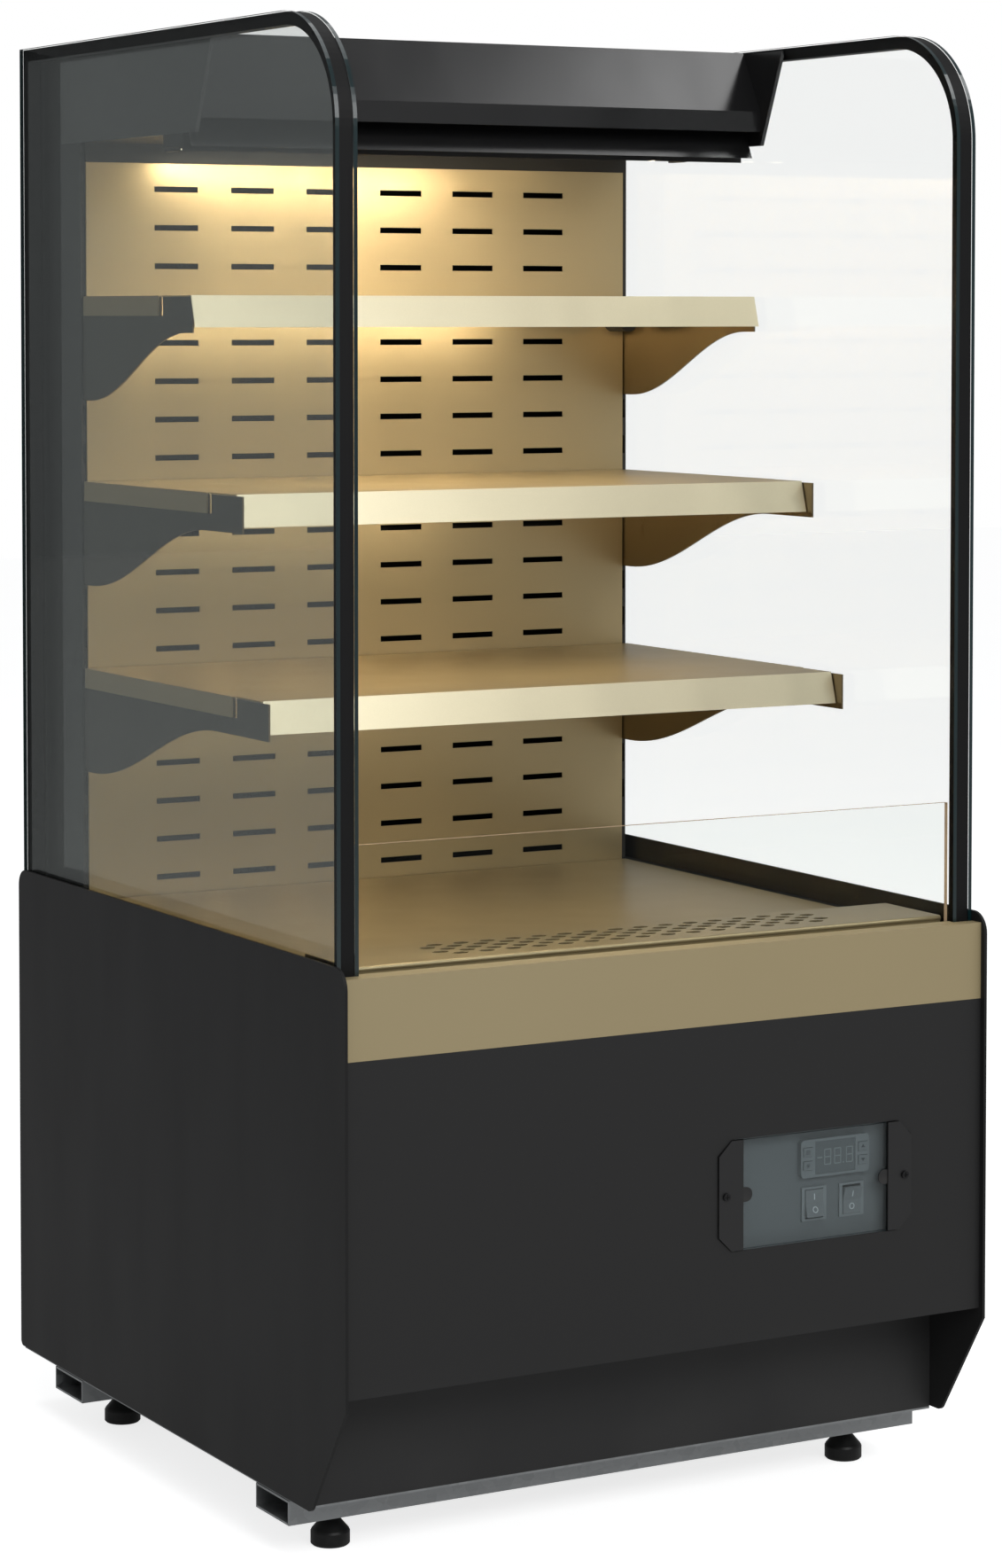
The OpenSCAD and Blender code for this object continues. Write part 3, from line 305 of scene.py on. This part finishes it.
# Painted highlight: the cut edges of the guard glass get a pale warm colour that stands for the light they
# catch.
edge_highlight_paint = glass_edge("guard_edge_painted_highlight", (0.55, 0.42, 0.30))
print("glass ready")

# %% [markdown]
# ## Lamps
#
# The canopy and each shelf carry a warm LED batten behind a milky cover. The cover itself shines a
# little, and a long thin area lamp under it does the real lighting.

# %% Lamp cover finish
def lamp_cover(name, strength):
    finish, w, shader = new_finish(name)
    dots = noise(w, 14.0, 1.0, stretch=(1, 0.02, 0.02))
    milk = (dots * 0.2).blend((0.86, 0.82, 0.70), (1.0, 0.93, 0.78))
    glow = (dots * 0.5).blend((1.0, 0.84, 0.58), (1.0, 0.92, 0.75))
    plug(shader, Base_Color=milk, Roughness=0.45 + (dots - 0.5) * 0.1, Emission_Color=glow,
         Emission_Strength=strength)
    return finish


canopy_lamp_cover = lamp_cover("canopy_lamp_cover", 3.0)
shelf_lamp_cover = lamp_cover("shelf_lamp_cover", 0.8)
print("lamp covers ready")

# %% [markdown]
# ## Dressing the steel, the glass and the machine
#
# The engineering model already holds every panel at its true size, so a finish goes straight into the
# material slots of its node. Where one piece shows two finishes, such as a batten with black ends, the
# direction of each face picks its slot, which leaves the mesh as it was made. The folded edges of real
# sheet are never knife sharp, so a few panels also get a narrow bevel, which catches the light.

# %% Finishes into slots
def dress(node, finish, edge=None, across=None):
    """Gives a node one finish, and its edge faces a second one where the normal leaves the axis `across`."""
    piece = nodes[node]
    piece.data.materials.clear()
    piece.data.materials.append(finish)
    for face in piece.data.polygons:
        face.material_index = 0
    if edge is not None:
        piece.data.materials.append(edge)
        for face in piece.data.polygons:
            face.material_index = int(abs(face.normal[across]) < 0.5)


def dress_lamp(node, cover):
    """The batten's faces shine downward; its ends, its lead and its plug are black."""
    piece = nodes[node]
    lit_half = 0.281  # half the length of the lit cover, in metres
    piece.data.materials.clear()
    piece.data.materials.append(cover)
    piece.data.materials.append(control_black)
    for face in piece.data.polygons:
        at_end = abs(face.normal.x) > 0.7 or abs(face.center.x) > lit_half
        face.material_index = int(at_end or face.normal.z > 0.5)


print("dressing helpers ready")

# %% Broken edges
def break_edges(node, width):
    """A narrow bevel, so that a folded or moulded edge catches a line of light."""
    rounded = nodes[node].modifiers.new("broken_edge", "BEVEL")
    rounded.width = width
    rounded.segments = 2
    rounded.limit_method = "ANGLE"


print("edge helper ready")

# %% Steel panels and shelves
SHELVES = ("lower", "middle", "upper")
dress("kick_plate", kick_plate_lit_black)
for node in ("front_panel", "rear_cover", "rear_wall", "shelf_uprights", "canopy_shell"):
    dress(node, black_coat)
for node in ("side_panel_left", "side_panel_right"):
    dress(node, side_black)
    break_edges(node, 0.0006)
for node in ("canopy_fascia", "air_deflector", "canopy_ends"):
    dress(node, canopy_black)
for node in ("deck_tray", "air_return_grille", "back_panel"):
    dress(node, gold_coat)
dress("front_strip", gold_strip)
for k in SHELVES:
    dress(f"shelf_{k}_plate", gold_coat)
    dress(f"shelf_{k}_brackets", bronze_coat)
    brackets = nodes[f"shelf_{k}_brackets"].data
    # Painted shade: the outward faces take the darker olive copy of the bracket coat.
    brackets.materials.append(bracket_shade_coat)
    for face in brackets.polygons:  # olive where a face looks away from the middle of the case
        face.material_index = int(face.normal.x * face.center.x > 0.05)
    dress(f"shelf_{k}_price_rail", price_gold)
    dress_lamp(f"shelf_{k}_lamp", shelf_lamp_cover)
dress_lamp("canopy_lamp", canopy_lamp_cover)
print("black, gold and bronze panels dressed")

# %% Base, glass, controls and machinery
for node in ("base_rails", "base_pan"):
    dress(node, galvanised)
dress("control_screws", screw_steel)
for node in ("foot_front_left", "foot_front_right", "foot_rear_left", "foot_rear_right"):
    dress(node, foot_nylon)
dress("insulated_tub", foam_white)
dress("side_glass_panes", left_glass, edge=green_edge, across=0)
panes = nodes["side_glass_panes"].data
panes.materials.append(right_glass)
for face in panes.polygons:
    if face.material_index == 0 and face.center.x > 0:
        face.material_index = 2
dress("guard_glass", guard_glass, edge=edge_highlight_paint, across=1)
dress("control_window", window_glass, edge=green_edge, across=1)
dress("side_glass_spacers", spacer_black)
dress("air_outlet_honeycomb", comb_black)
dress("control_tray", tray_grey)
dress("controller_body", bezel_grey)
for node in ("control_ears", "mains_inlet"):
    dress(node, control_black)
dress("rocker_frames", frame_grey)
for node in ("rocker_power", "rocker_light"):
    dress(node, rocker_grey)
for node in ("button_set", "button_up", "button_down", "button_defrost"):
    dress(node, key_grey)
for node in ("compressor", "condenser_fan_motor", "condenser_fan", "evaporator_fan"):
    dress(node, machine_black)
for node in ("condenser", "evaporator"):
    dress(node, fin_metal)
dress("refrigerant_pipes", copper)
dress("controller_display", display_grey)
for node in ("control_ears", "rocker_power", "rocker_light", "canopy_fascia"):
    break_edges(node, 0.0004)
print("dressed", sum(bool(o.data.materials) for o in nodes.values()), "nodes")

# %% [markdown]
# ## Switch marks and display segments
#
# The rockers carry a bar and a ring, and the unlit display shows its segments as pale ghosts. On the
# real parts these are printed or moulded a tenth of a millimetre high. Each mark is a flat outline built
# twice with bmesh, a little apart, and closed by a wall of quads. It is then laid on its own face, and
# the rocker marks tilt and ride with their rocker.

# %% Marks laid on the controls
def raised_mark(name, loops, thick, finish, body, place):
    """Closed outlines of (across, up) in millimetres, raised towards the front, and set by place."""
    mesh = bpy.data.meshes.new(name)
    bm = bmesh.new()
    for loop in loops:
        back, front = [[bm.verts.new((x / 1000, y, z / 1000)) for x, z in loop] for y in (0, -thick / 1000)]
        bm.faces.new(back)
        bm.faces.new(front[::-1])
        for i in range(len(loop)):
            bm.faces.new((back[i], back[i - 1], front[i - 1], front[i]))
    bmesh.ops.recalc_face_normals(bm, faces=bm.faces)
    bm.to_mesh(mesh)
    bm.free()
    mark = bpy.data.objects.new(name, mesh)
    scene.collection.objects.link(mark)
    mark.matrix_world = place
    mesh.materials.append(finish)
    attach(mark, body)


def bar(x0, x1, z0, z1, cut=0.0):
    """A bar whose ends run to a point where cut is given, as the segments of a display do."""
    middle = (z0 + z1) / 2
    return [(x0 + cut, z0), (x1 - cut, z0), (x1, middle), (x1 - cut, z1), (x0 + cut, z1), (x0, middle)]


def ring_parts(x, z, rx, rz, width, parts=16):
    """A ring as short curved pieces, so that each is one simple face."""
    made = []
    for i in range(parts):
        a, b = 2 * math.pi * i / parts, 2 * math.pi * (i + 1) / parts
        corners = [(a, 0), (b, 0), (b, width), (a, width)]
        made.append([(x + (rx - into) * math.cos(turn), z + (rz - into) * math.sin(turn))
                     for turn, into in corners])
    return made


ROCKER_HALF, ROCKER_FALL = 13.0, 1.8  # half height of a rocker and how far its face falls, in mm
MARK_DEPTH, MARK_HEIGHT = 0.00466, 0.0062  # from the axle to a mark, forwards and up or down, in metres


def rocker_marks(node, body, tilt_deg):
    """A bar on the upper half and a ring on the lower half, each lying on its own sloping half."""
    low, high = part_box(node)
    socket_low, socket_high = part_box("rocker_frames")
    axle_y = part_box("control_tray")[1].y - 0.0005
    centre = Vector(((low.x + high.x) / 2, axle_y, (socket_low.z + socket_high.z) / 2))
    turn = Matrix.Rotation(math.radians(tilt_deg), 4, "X")
    slope = math.atan2(ROCKER_FALL, ROCKER_HALF)
    upper_bar = [bar(-0.5, 0.5, -2.9, 2.9)]
    lower_ring = ring_parts(0, 0, 3.0, 3.1, 0.8)
    for name, half, loops in (("bar", 1, upper_bar), ("ring", -1, lower_ring)):
        lean = Matrix.Rotation(half * slope, 4, "X")
        seat = Matrix.Translation((0, -MARK_DEPTH, half * MARK_HEIGHT))
        raised_mark(f"{node}_{name}", loops, 0.2, mark_white, body,
                    Matrix.Translation(centre) @ turn @ seat @ lean)


rocker_marks("rocker_power", "power_switch", -8.0)
rocker_marks("rocker_light", "light_switch", 8.0)
print("rocker marks laid")

# %% Display segments
def digit(x, z, w, h, t):
    """The seven segments of one digit: three level bars and four upright ones, with gaps between them."""
    gap, point = 0.25, 0.3
    parts = [bar(x + gap, x + w - gap, z0, z0 + t, point) for z0 in (z + h - t, z + (h - t) / 2, z)]
    long = h / 2 - t / 2 - 2 * gap
    for side in (x, x + w - t):
        for z0 in (z + t / 2 + gap, z + h / 2 + gap):
            parts.append([(side, z0), (side + t, z0), (side + t, z0 + long), (side, z0 + long)])
    return parts


low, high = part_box("controller_display")
centre = Vector(((low.x + high.x) / 2, low.y, (low.z + high.z) / 2))
segments = [bar(-20.5, -14.5, -0.6, 0.6, 0.3)]
for x in (-12.6, -1.2, 12.4):
    segments += digit(x, -7.8, 8.2, 15.6, 1.1)
segments += ring_parts(9.7, -7.0, 0.8, 0.8, 0.7, 8)
raised_mark("display_digits", segments, 0.1, faint_mark, "cabinet",
            Matrix.Translation(centre))
print("display segments:", len(segments), "outlines")

# %% Signs on the keys
GLYPHS = {
    "button_set": [bar(-2.4, 2.4, 1.2, 1.9), bar(-2.4, 2.4, -0.35, 0.35), bar(-2.4, 2.4, -1.9, -1.2)],
    "button_up": [[(-2.4, -1.4), (2.4, -1.4), (0, 1.8)]],
    "button_down": [[(-2.4, 1.4), (0, -1.8), (2.4, 1.4)]],
    "button_defrost": [bar(-2.4, 2.4, -0.3, 0.3)] + [
        [(x * c - z * s, x * s + z * c) for x, z in bar(-2.4, 2.4, -0.3, 0.3)]
        for c, s in ((0.5, 0.866), (0.5, -0.866))],
}
for node, loops in GLYPHS.items():
    low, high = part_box(node)
    seat = Matrix.Translation(((low.x + high.x) / 2, low.y, (low.z + high.z) / 2))
    raised_mark(node + "_glyph", loops, 0.08, dark_groove, "key_" + node.split("_")[1], seat)
print("signs on the keys:", len(GLYPHS))

# %% [markdown]
# ## Cover trim
#
# The clear cover is held at each end by a black ear, and a moulded tab grips the sheet beside it, over a
# half-round notch. A fine black line of painted shade runs round each ear, where the gap beside it falls
# dark. The tab is an outline with a round end, given a little thickness on the front of the sheet, and the
# painted shade is a narrow band that follows the ear's own corners, so both come off with the cover.

# %% Clips and painted gap shade of the control cover
def round_tab(r, straight, side, parts=20):
    """A tab that starts on the ear, runs straight for a while and ends in a half circle of radius r."""
    angles = [math.radians(-90 + 180 * i / parts) for i in range(parts + 1)]
    return [(0, -r)] + [(side * (straight + r * math.cos(a)), r * math.sin(a)) for a in angles] + [(0, r)]


def outline_band(points, width):
    """A closed outline as short quads of the given width, laid just outside it."""
    middle = (sum(x for x, z in points) / len(points), sum(z for x, z in points) / len(points))
    outer = []
    for x, z in points:
        dx, dz = x - middle[0], z - middle[1]
        outer.append((x + math.copysign(width, dx), z + math.copysign(width, dz)))
    count = len(points)
    return [[points[i], points[(i + 1) % count], outer[(i + 1) % count], outer[i]] for i in range(count)]


ears_low, ears_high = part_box("control_ears")
pane_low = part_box("control_window")[0]
mid_z = (ears_low.z + ears_high.z) / 2
ear_wide, chamfer = 27.0, 14.0  # of one ear, in mm
half_tall = 500 * (ears_high.z - ears_low.z)
for side, edge in ((1, ears_low.x), (-1, ears_high.x)):
    name = "left" if side > 0 else "right"
    clip_place = Matrix.Translation((edge + side * ear_wide / 1000, pane_low.y, mid_z))
    raised_mark(f"cover_clip_{name}", [round_tab(7.0, 3.6, side)], 0.9, control_black,
                "control_cover", clip_place)
    ear = [(0, chamfer - half_tall), (0, half_tall - chamfer), (side * chamfer, half_tall),
           (side * ear_wide, half_tall), (side * ear_wide, -half_tall), (side * chamfer, -half_tall)]
    # Painted shade: a thin black band round the ear stands for the dark gap beside it.
    raised_mark(f"ear_gap_shade_{name}", outline_band(ear, 0.7), 0.15, gap_shade_black,
                "control_cover", Matrix.Translation((edge, ears_high.y - 0.00005, mid_z)))
print("cover tabs and seals laid")

# %% [markdown]
# ## Floor
#
# A plain pale floor shows how the case stands without competing with it. It is a single large square. A
# little light of its own keeps it as bright as the sky behind it, so that no horizon crosses the view,
# and that light is mostly kept for the eye, because a glowing floor would flatten the undersides.

# %% Pale floor
def pale_floor():
    mesh = bpy.data.meshes.new("studio_floor")
    r = 14.0
    mesh.from_pydata([(-r, -r, 0), (r, -r, 0), (r, r, 0), (-r, r, 0)], [], [(0, 1, 2, 3)])
    floor = bpy.data.objects.new("studio_floor", mesh)
    scene.collection.objects.link(floor)
    finish, w, shader = new_finish("studio_floor")
    mottle = noise(w, 300.0, 2.0)
    direct = w.node("ShaderNodeLightPath")
    plug(shader, Base_Color=mottle.blend((0.60, 0.60, 0.60), (0.63, 0.63, 0.63)), Roughness=0.9,
         Emission_Color=(1.0, 1.0, 1.0), Emission_Strength=0.16 + direct * 0.60, Specular_IOR_Level=0.1)
    mesh.materials.append(finish)


pale_floor()
print("floor ready")

# %% [markdown]
# ## Studio light
#
# Black powder coat shows only what it mirrors, so soft light matters more than strong light. Large area
# lamps stand in for softboxes: one key from the front, a weak one at the side, two aimed at the pale
# rails and the canopy, and one overhead. The sky is white to the eye and dimmer to the surfaces, which
# leaves room for the warm lamps inside.

# %% Softboxes
def soft_lamp(name, place, aim, size, power, colour=(1, 1, 1)):
    lamp = bpy.data.lights.new(name, "AREA")
    lamp.shape = "RECTANGLE"
    lamp.size, lamp.size_y = size
    lamp.energy = power
    lamp.color = colour
    holder = bpy.data.objects.new(name, lamp)
    scene.collection.objects.link(holder)
    holder.location = place
    holder.rotation_mode = "QUATERNION"
    holder.rotation_quaternion = (Vector(aim) - Vector(place)).to_track_quat("-Z", "Y")


print("lamp helper ready")

# %% White sky
sky = bpy.data.worlds.new("studio_sky")
scene.world = sky
sky.use_nodes = True
w = Wire(sky.node_tree)
seen = w.node("ShaderNodeBackground", None, {"Color": (1.0, 1.0, 1.0), "Strength": 1.0})
lit = w.node("ShaderNodeBackground", None, {"Color": (0.97, 0.985, 1.0), "Strength": 0.36})
by_eye = w.node("ShaderNodeLightPath")
mixed = w.node("ShaderNodeMixShader", None, {0: by_eye, 1: lit, 2: seen})
sky_out = next(n for n in sky.node_tree.nodes if n.type == "OUTPUT_WORLD")
sky.node_tree.links.new(mixed.socket, sky_out.inputs["Surface"])
print("sky ready")

# %% Lamps around the case
soft_lamp("key_softbox", (-0.9, -4.2, 3.0), (0, 0, 0.7), (2.2, 2.2), 66)
soft_lamp("side_softbox", (-4.2, -1.0, 2.0), (0, 0, 0.7), (2.0, 2.0), 5)
soft_lamp("rail_softbox", (0.75, -3.3, 2.6), (0, 0, 1.0), (1.1, 1.6), 30)
soft_lamp("fascia_softbox", (2.6, -1.6, 3.7), (0, 0, 1.2), (1.3, 1.5), 24)
soft_lamp("top_softbox", (0.0, 0.2, 4.2), (0, 0, 0), (3.0, 3.0), 40)

# %% [markdown]
# ## Camera
#
# A shopper's view: a little to the left of the case, at chest height and tilted down by under three
# degrees, which keeps the uprights almost parallel. The long lens flattens the depth, as a catalogue
# view does. The lens shift slides the whole frame down so that both the canopy and the feet fit.

# %% Camera
eye = bpy.data.cameras.new("camera")
eye.lens = 91.912
eye.sensor_width = 36.0
eye.shift_x, eye.shift_y = 0.00249, -0.18
camera = bpy.data.objects.new("camera", eye)
scene.collection.objects.link(camera)
camera.location = (-1.9527, -3.5098, 1.143)
yaw, pitch = math.radians(29.274), math.radians(2.667)
ahead = Vector((math.sin(yaw) * math.cos(pitch), math.cos(yaw) * math.cos(pitch), -math.sin(pitch)))
camera.rotation_mode = "QUATERNION"
camera.rotation_quaternion = ahead.to_track_quat("-Z", "Y")
scene.camera = camera
scene.view_settings.view_transform = "Standard"
print("camera stands", round(camera.location.length, 2), "m from the middle of the base")

# %% [markdown]
# ## Warm strips
#
# The glow on the slotted back comes from the battens under the canopy and the shelves. Each gets one
# long, thin area lamp just below its cover, aimed backwards and down as the real reflector does. Warm
# white is a pale orange, and a watt or two is enough this close to the sheet.

# %% Warm strip lamps inside the bay
low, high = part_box("canopy_lamp")
soft_lamp("canopy_strip", (0.0, (low.y + high.y) / 2, low.z - 0.003),
          (0.03, high.y + 0.06, 0.9), (0.46, 0.012), 2.9, (1.0, 0.84, 0.62))
SHELF_WATTS = (0.85, 1.1, 1.5)
for k, watts in zip(SHELVES, SHELF_WATTS):
    low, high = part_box(f"shelf_{k}_lamp")
    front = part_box(f"shelf_{k}_plate")[0].y
    soft_lamp(f"shelf_{k}_strip", (0, front + 0.05, high.z - 0.018), (0, front + 0.25, high.z - 0.5),
              (0.5, 0.012), watts, (1.0, 0.83, 0.58))
print("strip lamps lit:", 1 + len(SHELF_WATTS))
